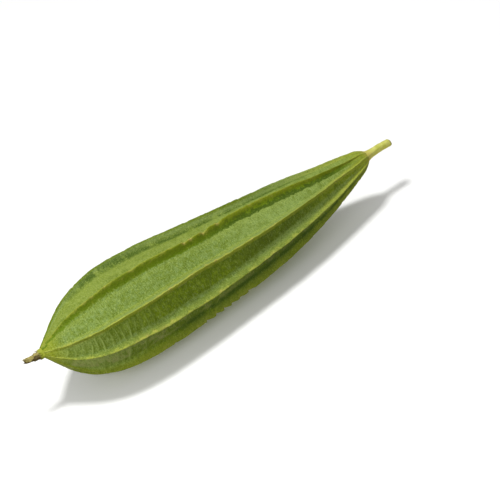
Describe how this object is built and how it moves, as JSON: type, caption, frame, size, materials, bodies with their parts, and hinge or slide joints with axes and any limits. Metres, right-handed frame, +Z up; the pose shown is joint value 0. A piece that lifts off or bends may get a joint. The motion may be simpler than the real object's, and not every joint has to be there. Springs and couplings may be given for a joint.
{
  "type": "ridge gourd",
  "caption": "Whole ridge gourd lying down: a club-shaped green fruit with sharp lengthwise ridges, a cut stub of stem and the withered remains of its flower.",
  "frame": {"origin": "on the surface that the gourd lies on, under the middle of its whole length and width", "axes": "+X along the gourd from the blossom end to the stem end, +Z up from the surface"},
  "size_m": [0.2768, 0.066, 0.0631],
  "materials": {
    "rind": "green rind with a soft waxy sheen",
    "stem_skin": "pale yellow-green, fibrous, satin",
    "dry_flower": "dry, papery, tan to dark brown"
  },
  "bodies": {
    "root": {"fruit": "rind", "stem": "stem_skin", "flower_remnant": "dry_flower"}
  },
  "joints": []
}
